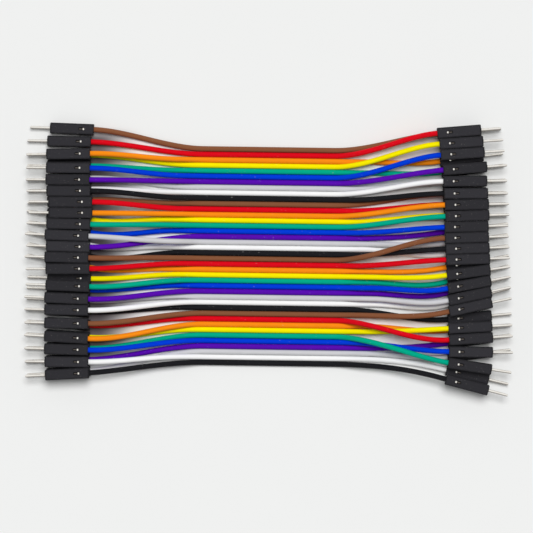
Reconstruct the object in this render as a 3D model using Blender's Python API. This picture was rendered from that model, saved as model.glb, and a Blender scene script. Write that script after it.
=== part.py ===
"""Ribbon of forty breadboard jumper leads, lying flat with its plugs stacked in two layers.

Units are metres, +Z is up and +X runs along the leads. The forty insulated wires lie side by side in the
middle, where they are bonded, and spread out towards both ends. Each wire ends in a square black housing
that carries one pin. The origin is the middle of the housings and pins in plan, on the surface below them.
"""

import math

import bmesh
import bpy
import numpy as np
from mathutils import Matrix

MM = 0.001
LOWER, UPPER = "lower", "upper"
LEFT, RIGHT = "left", "right"

# Insulated wires
WIRE_DIAMETER = 1.15 * MM
BOND_GAP = 0.13 * MM
LANE_PITCH = WIRE_DIAMETER + BOND_GAP
WIRE_LIFT = 0.055 * MM
RIBBON_HALF_LENGTH = 14.0 * MM
RIBBON_MIDDLE_Y = 0.83 * MM
RIBBON_SLOPE = -0.014
FAN_LENGTH = 27.3 * MM
CROSSING_RISE = 3.97 * MM
EARLY_RISE = 1.42 * MM

# Moulded one-way housings
HOUSING_LENGTH = 10.2 * MM
HOUSING_WIDTH = 2.5 * MM
HOUSING_HEIGHT = 2.5 * MM
NOSE_CHAMFER = 0.3 * MM
LAYER_GAP = 0.1 * MM

# Socket that the wire goes into
SOCKET_CLEARANCE = 0.3 * MM
SOCKET_DEPTH = 1.6 * MM
WIRE_INSERTION = 1.2 * MM

# Latch window in the top face
WINDOW_LENGTH = 1.7 * MM
WINDOW_WIDTH = 1.2 * MM
WINDOW_DEPTH = 0.45 * MM
WINDOW_TO_WIRE_END = 2.7 * MM

# Square contact pins
PIN_SIDE = 0.64 * MM
PIN_LENGTH = 4.7 * MM
PIN_TAPER_LENGTH = 0.7 * MM
PIN_TIP_SCALE = 0.4
PIN_ROOT = 0.9 * MM

# Contact between the housings of one group
CONTACT_GRIP = 0.15 * MM
CONTACT_WIDTH = 0.8 * MM
CONTACT_LENGTH = 1.2 * MM

# Course of a wire between the ribbon and its plug: how far it runs straight into the plug, then, as shares
# of the way from the ribbon to that stretch, where it can start to turn and where it climbs or comes down
STRAIGHT_EXIT = 0.7 * MM
TURN_START = 0.05
CROSSING_CLIMB = (0.0, 0.42)
CROSSING_DESCENT = (0.74, 1.0)
EARLY_CLIMB = (0.0, 0.36)
UPPER_CLIMB = (0.3, 0.95)
LOWER_CLIMB = (0.55, 1.0)

# How a wire turns to its plug: the least share of the fan that the turn takes, how much that grows with the
# way across as a share of the fan's length, and how far the wire leans into the plug, as a share of the
# turn's mean slope
LEAST_TURN = 0.6
TURN_GROWTH = 3.5
EXIT_LEAN = 0.2

# One row a lead, from the top of the ribbon down, in millimetres, for housings of the usual width: its
# colour, then for its left and its right end the layer, how far the front of its housing stands out from
# the line where the fans and housings end, and the y of that front and of the end where the wire enters.
# Wider housings lie further apart by the same share.
USUAL_WIDTH = 2.5 * MM
LEADS = (
    ("brown", (LOWER, -0.30, 30.85, 30.45), (LOWER, -2.10, 30.25, 29.45)),
    ("red", (LOWER, 0.35, 27.80, 27.60), (UPPER, -2.25, 30.30, 29.50)),
    ("orange", (UPPER, 0.45, 24.65, 24.80), (LOWER, -1.60, 24.30, 23.05)),
    ("yellow", (LOWER, 0.35, 24.60, 24.52), (UPPER, -1.75, 27.66, 27.00)),
    ("green", (LOWER, 0.40, 22.05, 21.98), (LOWER, -1.25, 21.70, 20.53)),
    ("blue", (UPPER, 0.50, 21.50, 21.42), (UPPER, -1.45, 25.13, 24.43)),
    ("purple", (UPPER, 0.60, 18.75, 18.70), (UPPER, -0.85, 21.72, 20.95)),
    ("grey", (LOWER, 0.50, 18.85, 19.12), (LOWER, -0.90, 18.50, 18.00)),
    ("white", (LOWER, 0.25, 16.33, 16.57), (UPPER, -0.85, 18.40, 18.30)),
    ("black", (UPPER, 0.40, 16.10, 16.10), (UPPER, -0.65, 15.52, 15.47)),
    ("brown", (LOWER, 0.35, 13.60, 14.02), (LOWER, -0.80, 15.70, 15.47)),
    ("red", (UPPER, -0.05, 13.57, 13.53), (LOWER, -0.70, 13.10, 12.95)),
    ("orange", (UPPER, -0.10, 11.04, 10.95), (UPPER, -0.45, 12.98, 12.80)),
    ("yellow", (LOWER, 0.50, 10.85, 9.45), (LOWER, -0.55, 10.50, 10.40)),
    ("green", (UPPER, 0.40, 8.53, 8.30), (UPPER, -0.35, 10.44, 10.15)),
    ("blue", (LOWER, 0.25, 8.22, 6.42), (UPPER, -0.55, 7.90, 7.61)),
    ("purple", (UPPER, 0.50, 3.30, 3.02), (LOWER, -0.45, 7.92, 6.57)),
    ("grey", (UPPER, 0.80, 5.95, 5.55), (LOWER, -0.45, 5.36, 4.00)),
    ("white", (LOWER, 0.50, 5.60, 3.48), (LOWER, -0.35, 2.80, 1.45)),
    ("black", (LOWER, 0.35, 2.95, 0.87), (UPPER, -0.30, 2.85, 2.54)),
    ("brown", (UPPER, 0.85, 0.75, 0.50), (UPPER, -0.45, 5.38, 5.07)),
    ("red", (UPPER, 0.60, -2.05, -2.03), (UPPER, -0.20, 0.33, 0.03)),
    ("orange", (LOWER, 0.60, 0.32, -1.69), (LOWER, -0.20, 0.20, -1.70)),
    ("yellow", (LOWER, 0.35, -4.05, -4.35), (UPPER, -0.10, -2.20, -3.55)),
    ("green", (UPPER, 0.60, -5.80, -6.20), (LOWER, -0.10, -2.45, -5.00)),
    ("blue", (LOWER, 0.50, -6.58, -6.96), (UPPER, 0.05, -4.75, -6.62)),
    ("purple", (UPPER, 0.90, -8.70, -9.10), (LOWER, 0.00, -5.10, -7.62)),
    ("grey", (LOWER, 0.60, -9.10, -9.50), (UPPER, 0.15, -7.31, -9.42)),
    ("white", (UPPER, 0.90, -11.50, -11.70), (LOWER, 0.15, -7.75, -10.35)),
    ("black", (LOWER, 0.70, -11.62, -12.06), (LOWER, 0.35, -12.95, -13.85)),
    ("brown", (UPPER, 0.90, -14.60, -14.80), (UPPER, 0.30, -9.88, -12.00)),
    ("red", (LOWER, 0.60, -14.50, -15.20), (UPPER, 0.50, -18.00, -18.62)),
    ("orange", (UPPER, 0.95, -17.70, -18.30), (LOWER, 0.25, -15.50, -16.40)),
    ("yellow", (LOWER, 0.70, -17.45, -18.05), (UPPER, 0.35, -15.40, -15.95)),
    ("green", (LOWER, 0.60, -20.45, -20.60), (UPPER, 0.20, -25.50, -23.93)),
    ("blue", (UPPER, 0.95, -20.65, -20.95), (UPPER, 0.50, -21.48, -21.35)),
    ("purple", (LOWER, 0.70, -23.50, -23.25), (LOWER, 0.25, -18.05, -19.40)),
    ("grey", (LOWER, 0.50, -26.50, -25.85), (LOWER, 0.15, -21.45, -22.60)),
    ("white", (UPPER, 0.85, -23.65, -23.75), (LOWER, -0.30, -27.90, -25.60)),
    ("black", (UPPER, 0.75, -26.80, -26.27), (UPPER, -0.55, -30.35, -27.75)),
)

# The leads whose plugs touch and are made as one solid, by their place in the ribbon, counted from 0
GROUPS = {
    LEFT: (
        (0, 1), (2, 3, 4, 5), (7, 6, 8, 9, 10), (13, 11, 12, 15), (18, 14, 17, 19),
        (22, 16, 20), (25, 21, 23, 24), (27, 26, 28, 29), (31, 30, 32, 33), (34, 35, 38, 36, 39, 37),
    ),
    RIGHT: (
        (1, 0, 3), (5, 2, 6, 4), (8, 7, 9, 10), (12, 11, 14, 13), (15, 16, 20, 17),
        (19, 18, 21, 22), (23, 24, 25, 26), (27, 28, 30, 29), (33, 32, 31, 36), (35, 37, 34, 38, 39),
    ),
}

# Wires that pass over their neighbours, as the side and the place in the ribbon
CROSSES_OVER = {(LEFT, 17), (RIGHT, 20), (RIGHT, 31), (RIGHT, 34)}

# Shares of a fan's length at which its curve has points
FAN_SHARES = np.array([0.0, 0.14, 0.28, 0.42, 0.56, 0.7, 0.83, 0.93, 1.0])

# Colour, roughness and metallic of the finishes
FINISHES = {
    "brown": ((0.17, 0.065, 0.035), 0.4, 0.0),
    "red": ((0.75, 0.005, 0.012), 0.35, 0.0),
    "orange": ((1.0, 0.27, 0.008), 0.35, 0.0),
    "yellow": ((1.0, 0.87, 0.0), 0.35, 0.0),
    "green": ((0.0, 0.4, 0.24), 0.35, 0.0),
    "blue": ((0.0, 0.045, 0.68), 0.35, 0.0),
    "purple": ((0.1, 0.004, 0.42), 0.35, 0.0),
    "grey": ((0.6, 0.6, 0.62), 0.35, 0.0),
    "white": ((0.95, 0.95, 0.95), 0.35, 0.0),
    "black": ((0.013, 0.013, 0.015), 0.35, 0.0),
    "housing": ((0.04, 0.038, 0.045), 0.55, 0.0),
}


class Plug:
    """Where one housing lies: its pin end, its unit direction from the wire to the pin, and its height."""

    def __init__(self, place, side):
        _colour, left_end, right_end = LEADS[place]
        layer, stand_out, pin_y, wire_y = left_end if side == LEFT else right_end
        spacing = HOUSING_WIDTH / USUAL_WIDTH
        drift = (pin_y - wire_y) * spacing * MM
        outward = 1.0 if side == RIGHT else -1.0
        reach = math.sqrt(HOUSING_LENGTH**2 - drift**2) * outward
        pin_x = (RIBBON_HALF_LENGTH + FAN_LENGTH + HOUSING_LENGTH + stand_out * MM) * outward
        self.direction = np.array([reach, drift]) / HOUSING_LENGTH
        self.pin_end = np.array([pin_x, pin_y * spacing * MM])
        self.wire_end = self.pin_end - np.array([reach, drift])
        self.on_top = layer == UPPER
        self.z = HOUSING_HEIGHT / 2 + (HOUSING_HEIGHT + LAYER_GAP if self.on_top else 0.0)

    def corners(self):
        """The plan corners of the housing and of the pin's tip."""
        across = np.array([-self.direction[1], self.direction[0]])
        tip = self.pin_end + self.direction * PIN_LENGTH
        half, half_tip = HOUSING_WIDTH / 2, PIN_SIDE * PIN_TIP_SCALE / 2
        ends = ((self.pin_end, half), (self.wire_end, half), (tip, half_tip))
        return [end + across * sign * reach for end, reach in ends for sign in (-1, 1)]

    def move(self, shift):
        self.pin_end = self.pin_end + shift
        self.wire_end = self.wire_end + shift

    def span(self, axis, x):
        """The lowest and highest y or z that the housing fills in the plane at x."""
        if axis == "z":
            return self.z - HOUSING_HEIGHT / 2, self.z + HOUSING_HEIGHT / 2
        slope = self.direction[1] / self.direction[0]
        middle = self.pin_end[1] + (x - self.pin_end[0]) * slope
        half = HOUSING_WIDTH / 2 / abs(self.direction[0])
        return middle - half, middle + half

    def middle_x(self):
        return (self.pin_end[0] + self.wire_end[0]) / 2

    def matrix(self):
        turn = Matrix.Rotation(math.atan2(self.direction[1], self.direction[0]), 4, "Z")
        return Matrix.Translation((*self.pin_end, self.z)) @ turn


def centred_plugs():
    """All the plugs by side and place, with the middle of their plan box at the origin, and that shift."""
    plugs = {(side, place): Plug(place, side) for side in (LEFT, RIGHT) for place in range(len(LEADS))}
    corners = np.array([corner for plug in plugs.values() for corner in plug.corners()])
    shift = -(corners.min(axis=0) + corners.max(axis=0)) / 2
    for plug in plugs.values():
        plug.move(shift)
    return plugs, shift


# Collections, materials and meshes


def clear_scene():
    for obj in list(bpy.data.objects):
        bpy.data.objects.remove(obj)


def new_collection(name):
    collection = bpy.data.collections.new(name)
    bpy.context.scene.collection.children.link(collection)
    return collection


def material(name, finish):
    colour, roughness, metallic = FINISHES[finish]
    mat = bpy.data.materials.new(name)
    mat.use_nodes = True
    shader = mat.node_tree.nodes["Principled BSDF"]
    shader.inputs["Base Color"].default_value = (*colour, 1.0)
    shader.inputs["Roughness"].default_value = roughness
    shader.inputs["Metallic"].default_value = metallic
    return mat


def add_object(name, data, collection):
    obj = bpy.data.objects.new(name, data)
    collection.objects.link(obj)
    return obj


def box_into(bm, low, high):
    """Adds a box between two corners to a bmesh and returns its vertices."""
    low, high = np.array(low), np.array(high)
    placing = Matrix.Translation((low + high) / 2) @ Matrix.Diagonal((*(high - low), 1.0))
    return bmesh.ops.create_cube(bm, size=1.0, matrix=placing)["verts"]


def mesh_from(bm, name):
    mesh = bpy.data.meshes.new(name)
    bm.to_mesh(mesh)
    bm.free()
    return mesh


def add_helper(name, mesh, collection):
    """A cutter or a joining block, which the build leaves out."""
    obj = add_object(name, mesh, collection)
    obj.hide_render = True
    obj.display_type = "WIRE"
    return obj


def add_boolean(obj, other, operation):
    modifier = obj.modifiers.new(other.name, "BOOLEAN")
    modifier.operation = operation
    modifier.object = other
    modifier.solver = "EXACT"


def evaluated_mesh(obj):
    graph = bpy.context.evaluated_depsgraph_get()
    return bpy.data.meshes.new_from_object(obj.evaluated_get(graph))


# One plug: a housing with its pin, socket and latch window


def housing_body_mesh():
    """The moulded block, with its pin end at x = 0 chamfered all round."""
    bm = bmesh.new()
    half_width, half_height = HOUSING_WIDTH / 2, HOUSING_HEIGHT / 2
    box_into(bm, (-HOUSING_LENGTH, -half_width, -half_height), (0.0, half_width, half_height))
    nose = [edge for edge in bm.edges if all(abs(v.co.x) < NOSE_CHAMFER / 2 for v in edge.verts)]
    bmesh.ops.bevel(bm, geom=nose, offset=NOSE_CHAMFER, segments=1, affect="EDGES")
    return mesh_from(bm, "housing_body")


def pin_mesh():
    """The square pin, rooted in the housing and tapered to its tip."""
    bm = bmesh.new()
    half = PIN_SIDE / 2
    taper_start = PIN_LENGTH - PIN_TAPER_LENGTH
    box_into(bm, (-PIN_ROOT, -half, -half), (taper_start, half, half))
    end = [face for face in bm.faces if face.normal.x > 0.9]
    tip = bmesh.ops.extrude_discrete_faces(bm, faces=end)["faces"][0]
    for vert in tip.verts:
        vert.co.x = PIN_LENGTH
        vert.co.y *= PIN_TIP_SCALE
        vert.co.z *= PIN_TIP_SCALE
    return mesh_from(bm, "pin")


def hollows_mesh():
    """The wire's socket in the rear face and the latch window in the top face, as cutters."""
    bm = bmesh.new()
    half = WIRE_DIAMETER / 2 + SOCKET_CLEARANCE
    rear, top = -HOUSING_LENGTH, HOUSING_HEIGHT / 2
    box_into(bm, (rear - SOCKET_DEPTH, -half, -half), (rear + SOCKET_DEPTH, half, half))
    middle = rear + WINDOW_TO_WIRE_END
    box_into(
        bm,
        (middle - WINDOW_LENGTH / 2, -WINDOW_WIDTH / 2, top - WINDOW_DEPTH),
        (middle + WINDOW_LENGTH / 2, WINDOW_WIDTH / 2, top + WINDOW_DEPTH),
    )
    return mesh_from(bm, "hollows")


def plug_mesh(helpers):
    """One finished housing with its pin, in its own frame: pin end at the origin, pin along +X."""
    body = add_helper("housing_body", housing_body_mesh(), helpers)
    add_boolean(body, add_helper("pin", pin_mesh(), helpers), "UNION")
    add_boolean(body, add_helper("hollows", hollows_mesh(), helpers), "DIFFERENCE")
    return evaluated_mesh(body)


# Groups of plugs that touch


def contact_span(first, second, axis, x):
    """The range of y or z in which two housings are joined: inside both, or across the gap between them."""
    spans = first.span(axis, x), second.span(axis, x)
    low, high = max(span[0] for span in spans), min(span[1] for span in spans)
    if low >= high - CONTACT_GRIP:
        return high - CONTACT_GRIP, low + CONTACT_GRIP
    half = min(CONTACT_WIDTH, high - low) / 2
    return (low + high) / 2 - half, (low + high) / 2 + half


def contact_shortfall(first, second, x):
    """How much two housings lack, over y and z together, to lie one grip deep beside or over each other."""
    lacking = 0.0
    for axis in "yz":
        spans = first.span(axis, x), second.span(axis, x)
        overlap = min(span[1] for span in spans) - max(span[0] for span in spans)
        lacking += max(0.0, CONTACT_GRIP - overlap)
    return lacking


def contact_pairs(members):
    """Pairs of plugs that join a whole group, each next pair being the one that lies closest."""
    joined, waiting, pairs = [members[0]], list(members[1:]), []
    while waiting:
        pair = min(
            ((inner, outer) for inner in joined for outer in waiting),
            key=lambda two: contact_shortfall(*two, two[1].middle_x()),
        )
        joined.append(pair[1])
        waiting.remove(pair[1])
        pairs.append(pair)
    return pairs


def contact_blocks_mesh(name, members):
    """Small blocks that join the plugs of a group where they touch."""
    bm = bmesh.new()
    for first, second in contact_pairs(members):
        x = second.middle_x()
        y_low, y_high = contact_span(first, second, "y", x)
        z_low, z_high = contact_span(first, second, "z", x)
        box_into(bm, (x - CONTACT_LENGTH / 2, y_low, z_low), (x + CONTACT_LENGTH / 2, y_high, z_high))
    return mesh_from(bm, name)


def add_plug_group(name, members, plug_shape, parts, helpers):
    """The plugs of one group as one solid, each in its place."""
    bm = bmesh.new()
    for plug in members:
        count = len(bm.verts)
        bm.from_mesh(plug_shape)
        bm.verts.ensure_lookup_table()
        bmesh.ops.transform(bm, matrix=plug.matrix(), verts=bm.verts[count:])
    group = add_object(name, mesh_from(bm, name), parts)
    group.data.materials.clear()
    group.data.materials.append(material(name, "housing"))
    blocks = contact_blocks_mesh(name + "_contacts", members)
    add_boolean(group, add_helper(name + "_contacts", blocks, helpers), "UNION")
    return group


# Wires


def smooth_step(t):
    """Rises from 0 to 1 with no slope and no curvature at its ends."""
    t = np.clip(t, 0.0, 1.0)
    return t**3 * (t * (6 * t - 15) + 10)


def climb(stretch):
    """The share climbed at each point of a fan, for a climb over one stretch of it."""
    start, end = stretch
    return smooth_step((FAN_SHARES - start) / (end - start))


def lane_y(place, x, shift):
    """y of a wire's lane in the ribbon, and straight on beyond it, at a place along the leads."""
    middle = (len(LEADS) - 1) / 2
    return RIBBON_MIDDLE_Y + shift[1] + (middle - place) * LANE_PITCH + RIBBON_SLOPE * (x - shift[0])


def fan_points(place, side, plug, shift):
    """The wire from the end of the bonded ribbon to a point inside its socket."""
    sign = 1.0 if side == RIGHT else -1.0
    floor_z = WIRE_DIAMETER / 2 + WIRE_LIFT
    start_x = sign * RIBBON_HALF_LENGTH + shift[0]
    end = plug.wire_end - plug.direction * STRAIGHT_EXIT
    way = end[0] - start_x
    x = start_x + way * FAN_SHARES
    across = end[1] - lane_y(place, end[0], shift)
    turn = min(1 - TURN_START, LEAST_TURN + TURN_GROWTH * abs(across / way))
    t = np.clip((FAN_SHARES - (1 - turn)) / turn, 0.0, 1.0)
    slope = plug.direction[1] / plug.direction[0] - RIBBON_SLOPE
    end_slope = slope * way * turn + EXIT_LEAN * across
    y = lane_y(place, x, shift) + across * (3 * t**2 - 2 * t**3) + end_slope * (t**3 - t**2)
    rise = plug.z - floor_z
    if (side, place) in CROSSES_OVER:
        z = CROSSING_RISE * climb(CROSSING_CLIMB) + (rise - CROSSING_RISE) * climb(CROSSING_DESCENT)
    elif plug.on_top:
        z = EARLY_RISE * climb(EARLY_CLIMB) + (rise - EARLY_RISE) * climb(UPPER_CLIMB)
    else:
        z = rise * climb(LOWER_CLIMB)
    inside = plug.wire_end + plug.direction * WIRE_INSERTION
    return np.vstack([np.column_stack([x, y, floor_z + z]), [(*inside, plug.z)]])


def add_wire(place, plugs, shift, parts):
    """One insulated wire from socket to socket, as a round tube on a line of points."""
    colour = LEADS[place][0]
    name = f"wire_{place + 1:02d}_{colour}"
    left = fan_points(place, LEFT, plugs[LEFT, place], shift)
    right = fan_points(place, RIGHT, plugs[RIGHT, place], shift)
    points = np.vstack([left[::-1], right])
    curve = bpy.data.curves.new(name, "CURVE")
    curve.dimensions = "3D"
    curve.twist_mode = "Z_UP"
    curve.bevel_depth = WIRE_DIAMETER / 2
    curve.bevel_resolution = 2
    curve.use_fill_caps = True
    spline = curve.splines.new("POLY")
    spline.points.add(len(points) - 1)
    for point, co in zip(spline.points, points):
        point.co = (*co, 1.0)
    curve.materials.append(material(name, colour))
    return add_object(name, curve, parts)


def main():
    clear_scene()
    parts = new_collection("jumper_lead_ribbon")
    helpers = new_collection("cutters_and_contacts")
    plugs, shift = centred_plugs()
    plug_shape = plug_mesh(helpers)
    for side, groups in GROUPS.items():
        for number, places in enumerate(groups, 1):
            name = f"housings_{side}_{number:02d}"
            add_plug_group(name, [plugs[side, place] for place in places], plug_shape, parts, helpers)
    for place in range(len(LEADS)):
        add_wire(place, plugs, shift, parts)


main()
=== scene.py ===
"""Ribbon of forty breadboard jumper leads, dressed over its solid model.

Units are metres in the part's frame: +X runs along the leads, +Z is up, and the lower plugs rest on z = 0.
"""

import math

import bmesh
import bpy
import numpy as np
from bpy.props import FloatProperty, FloatVectorProperty, IntProperty, PointerProperty
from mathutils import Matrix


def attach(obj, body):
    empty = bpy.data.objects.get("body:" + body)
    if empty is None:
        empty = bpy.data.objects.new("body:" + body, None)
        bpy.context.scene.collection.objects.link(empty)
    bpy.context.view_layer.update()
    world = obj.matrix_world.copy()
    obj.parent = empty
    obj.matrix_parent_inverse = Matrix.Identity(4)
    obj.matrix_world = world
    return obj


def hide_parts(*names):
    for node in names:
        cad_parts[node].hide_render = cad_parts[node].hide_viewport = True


bl_info = {
    "name": "Jumper Lead Ribbon",
    "version": (1, 0, 0),
    "blender": (4, 5, 0),
    "location": "View3D > Sidebar > Jumper Leads",
    "description": "Wires, housings and contacts of a ribbon of breadboard jumper leads",
    "category": "Object",
}

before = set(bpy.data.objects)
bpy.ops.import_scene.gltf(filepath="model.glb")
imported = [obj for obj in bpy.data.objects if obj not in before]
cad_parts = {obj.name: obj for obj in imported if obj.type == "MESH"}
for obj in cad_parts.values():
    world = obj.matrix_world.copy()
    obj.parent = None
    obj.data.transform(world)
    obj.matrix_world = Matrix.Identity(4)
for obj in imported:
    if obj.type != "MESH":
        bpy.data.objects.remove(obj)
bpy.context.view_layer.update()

MM = 0.001
BODY = "root"
LOWER, UPPER = "lower", "upper"
LEFT, RIGHT = "left", "right"

# One row a lead, from the top of the ribbon down, in millimetres: its colour, then for its left and its
# right end the layer, how far the front of its housing stands out from the line where the fans and housings
# end, and the y of that front and of the end where the wire enters
LEADS = (
    ("brown", (LOWER, -0.30, 30.85, 30.45), (LOWER, -2.10, 30.25, 29.45)),
    ("red", (LOWER, 0.35, 27.80, 27.60), (UPPER, -2.25, 30.30, 29.50)),
    ("orange", (UPPER, 0.45, 24.65, 24.80), (LOWER, -1.60, 24.30, 23.05)),
    ("yellow", (LOWER, 0.35, 24.60, 24.52), (UPPER, -1.75, 27.66, 27.00)),
    ("green", (LOWER, 0.40, 22.05, 21.98), (LOWER, -1.25, 21.70, 20.53)),
    ("blue", (UPPER, 0.50, 21.50, 21.42), (UPPER, -1.45, 25.13, 24.43)),
    ("purple", (UPPER, 0.60, 18.75, 18.70), (UPPER, -0.85, 21.72, 20.95)),
    ("grey", (LOWER, 0.50, 18.85, 19.12), (LOWER, -0.90, 18.50, 18.00)),
    ("white", (LOWER, 0.25, 16.33, 16.57), (UPPER, -0.85, 18.40, 18.30)),
    ("black", (UPPER, 0.40, 16.10, 16.10), (UPPER, -0.65, 15.52, 15.47)),
    ("brown", (LOWER, 0.35, 13.60, 14.02), (LOWER, -0.80, 15.70, 15.47)),
    ("red", (UPPER, -0.05, 13.57, 13.53), (LOWER, -0.70, 13.10, 12.95)),
    ("orange", (UPPER, -0.10, 11.04, 10.95), (UPPER, -0.45, 12.98, 12.80)),
    ("yellow", (LOWER, 0.50, 10.85, 9.45), (LOWER, -0.55, 10.50, 10.40)),
    ("green", (UPPER, 0.40, 8.53, 8.30), (UPPER, -0.35, 10.44, 10.15)),
    ("blue", (LOWER, 0.25, 8.22, 6.42), (UPPER, -0.55, 7.90, 7.61)),
    ("purple", (UPPER, 0.50, 3.30, 3.02), (LOWER, -0.45, 7.92, 6.57)),
    ("grey", (UPPER, 0.80, 5.95, 5.55), (LOWER, -0.45, 5.36, 4.00)),
    ("white", (LOWER, 0.50, 5.60, 3.48), (LOWER, -0.35, 2.80, 1.45)),
    ("black", (LOWER, 0.35, 2.95, 0.87), (UPPER, -0.30, 2.85, 2.54)),
    ("brown", (UPPER, 0.85, 0.75, 0.50), (UPPER, -0.45, 5.38, 5.07)),
    ("red", (UPPER, 0.60, -2.05, -2.03), (UPPER, -0.20, 0.33, 0.03)),
    ("orange", (LOWER, 0.60, 0.32, -1.69), (LOWER, -0.20, 0.20, -1.70)),
    ("yellow", (LOWER, 0.35, -4.05, -4.35), (UPPER, -0.10, -2.20, -3.55)),
    ("green", (UPPER, 0.60, -5.80, -6.20), (LOWER, -0.10, -2.45, -5.00)),
    ("blue", (LOWER, 0.50, -6.58, -6.96), (UPPER, 0.05, -4.75, -6.62)),
    ("purple", (UPPER, 0.90, -8.70, -9.10), (LOWER, 0.00, -5.10, -7.62)),
    ("grey", (LOWER, 0.60, -9.10, -9.50), (UPPER, 0.15, -7.31, -9.42)),
    ("white", (UPPER, 0.90, -11.50, -11.70), (LOWER, 0.15, -7.75, -10.35)),
    ("black", (LOWER, 0.70, -11.62, -12.06), (LOWER, 0.35, -12.95, -13.85)),
    ("brown", (UPPER, 0.90, -14.60, -14.80), (UPPER, 0.30, -9.88, -12.00)),
    ("red", (LOWER, 0.60, -14.50, -15.20), (UPPER, 0.50, -18.00, -18.62)),
    ("orange", (UPPER, 0.95, -17.70, -18.30), (LOWER, 0.25, -15.50, -16.40)),
    ("yellow", (LOWER, 0.70, -17.45, -18.05), (UPPER, 0.35, -15.40, -15.95)),
    ("green", (LOWER, 0.60, -20.45, -20.60), (UPPER, 0.20, -25.50, -23.93)),
    ("blue", (UPPER, 0.95, -20.65, -20.95), (UPPER, 0.50, -21.48, -21.35)),
    ("purple", (LOWER, 0.70, -23.50, -23.25), (LOWER, 0.25, -18.05, -19.40)),
    ("grey", (LOWER, 0.50, -26.50, -25.85), (LOWER, 0.15, -21.45, -22.60)),
    ("white", (UPPER, 0.85, -23.65, -23.75), (LOWER, -0.30, -27.90, -25.60)),
    ("black", (UPPER, 0.75, -26.80, -26.27), (UPPER, -0.55, -30.35, -27.75)),
)

# Neighbouring plugs that are one object each, by their places in the ribbon
GROUPS = {
    LEFT: (
        (0, 1), (2, 3, 4, 5), (7, 6, 8, 9, 10), (13, 11, 12, 15), (18, 14, 17, 19),
        (22, 16, 20), (25, 21, 23, 24), (27, 26, 28, 29), (31, 30, 32, 33), (34, 35, 38, 36, 39, 37),
    ),
    RIGHT: (
        (1, 0, 3), (5, 2, 6, 4), (8, 7, 9, 10), (12, 11, 14, 13), (15, 16, 20, 17),
        (19, 18, 21, 22), (23, 24, 25, 26), (27, 28, 30, 29), (33, 32, 31, 36), (35, 37, 34, 38, 39),
    ),
}

# Wires that pass over their neighbours, as the side and the place in the ribbon
CROSSES_OVER = {(LEFT, 17), (RIGHT, 20), (RIGHT, 31), (RIGHT, 34)}

# Where a fan wire turns at the earliest and where it climbs, as shares of its way from the ribbon to its
# straight end
TURN_START = 0.05
CROSSING_CLIMB, CROSSING_DESCENT = (0.0, 0.42), (0.74, 1.0)
EARLY_CLIMB, UPPER_CLIMB = (0.0, 0.36), (0.3, 0.95)
LOWER_CLIMB = (0.55, 1.0)

# How a wire turns to its plug: the least share of the fan that the turn takes, how much that grows with the
# way across as a share of the fan's length, and how far the wire leans into the plug, as a share of the
# turn's mean slope
LEAST_TURN = 0.6
TURN_GROWTH = 3.5
EXIT_LEAN = 0.2

# The share of its side that a pin of the solid model has at its tip, which counts where the plugs are centred
SOLID_TIP_SCALE = 0.4

# Rings of a wire in the bonded stretch, counted with those at its two ends
RIBBON_RINGS = 8

# Fine forms of the housings: the rounded lip of the wire's mouth and its inner corners, how far from either
# end the long sides are plain, and the collar round the pin
MOUTH_LIP = 0.1 * MM
MOUTH_CORNERS = (0.06 * MM, 0.08 * MM, 0.1 * MM)
REAR_MARGIN = 0.35 * MM
NOSE_MARGIN = 0.25 * MM
COLLAR_HEIGHT = 0.09 * MM
COLLAR_FOOT, COLLAR_TOP, COLLAR_HOLE = 0.5 * MM, 0.44 * MM, 0.2 * MM
COLLAR_HOLE_CORNER = 0.05 * MM

# The latch window narrows to its ends as a superellipse of this exponent, sampled at these shares
WINDOW_EXPONENT = 5
WINDOW_SHARES = (-1.0, -0.93, -0.78, -0.45, 0.0, 0.45, 0.78, 0.93, 1.0)

# Fine forms of the pins: their section, the seam's turn off the top and its width in radians, and the rings
# of the rounded tip
PIN_SIDES = 32
PIN_EXPONENT = 5
SEAM_TURN, SEAM_WIDTH = 0.5, 0.13
TIP_SHARES = (0.0, 0.3, 0.55, 0.75, 0.9, 0.98)
TIP_SCALE, TIP_EXPONENT = 0.35, 2.4

# Fine forms of the latches and crimps
LATCH_RINGS = 15
LATCH_CORNER = 0.05 * MM
BAND_HALF_WIDTH, LUG_HALF_GROWTH = 0.13 * MM, 0.11 * MM
CRIMP_SIDES = 20
CRIMP_CLEARANCE = 0.01 * MM
CRIMP_FRONT, CRIMP_REAR, CRIMP_LIP = 0.95 * MM, 0.4 * MM, 0.36 * MM

# Edges that turn by more than these degrees stay sharp
HOUSING_SHARP, CONTACT_SHARP = 32, 50

# Gloss of the insulation, and how many millimetres the pattern of each wire starts after the last one's
USUAL_GLOSS, WHITE_GLOSS = 0.06, 0.2
PATTERN_STEP = 131.0

# How dark or light each housing is by itself
TONE_SEED = 7
TONE_RANGE = (0.3, 0.8)

# Tints of dust, dull metal, tarnish in the pins' seams that also serves as painted shade on the pins' flanks
# and
#  the latch band, and the painted shadow on the floor in the gaps between the fanned wires
WIRE_DUST = (0.85, 0.83, 0.8)
HOUSING_DUST = (0.2, 0.19, 0.18)
DULL_METAL = (0.68, 0.6, 0.5)
TARNISH_AND_SHADE = (0.07, 0.05, 0.036)
PAINTED_SHADE_TINT = (0.1, 0.082, 0.09)

# Where shadow is painted on the floor in those gaps: where this begins, is full, is last full and ends, in x
# for
#  either side and in y, and how strong it is on either side
LEFT_PAINTED_SHADE = (-29 * MM, -40 * MM, -43 * MM, -46 * MM)
RIGHT_PAINTED_SHADE = (30 * MM, 41 * MM, 43 * MM, 46 * MM)
PAINTED_SHADE_ACROSS = (31 * MM, 28 * MM, -21 * MM, -26 * MM)
LEFT_SHADE_SHARE, RIGHT_SHADE_SHARE = 0.93, 0.1

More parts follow.
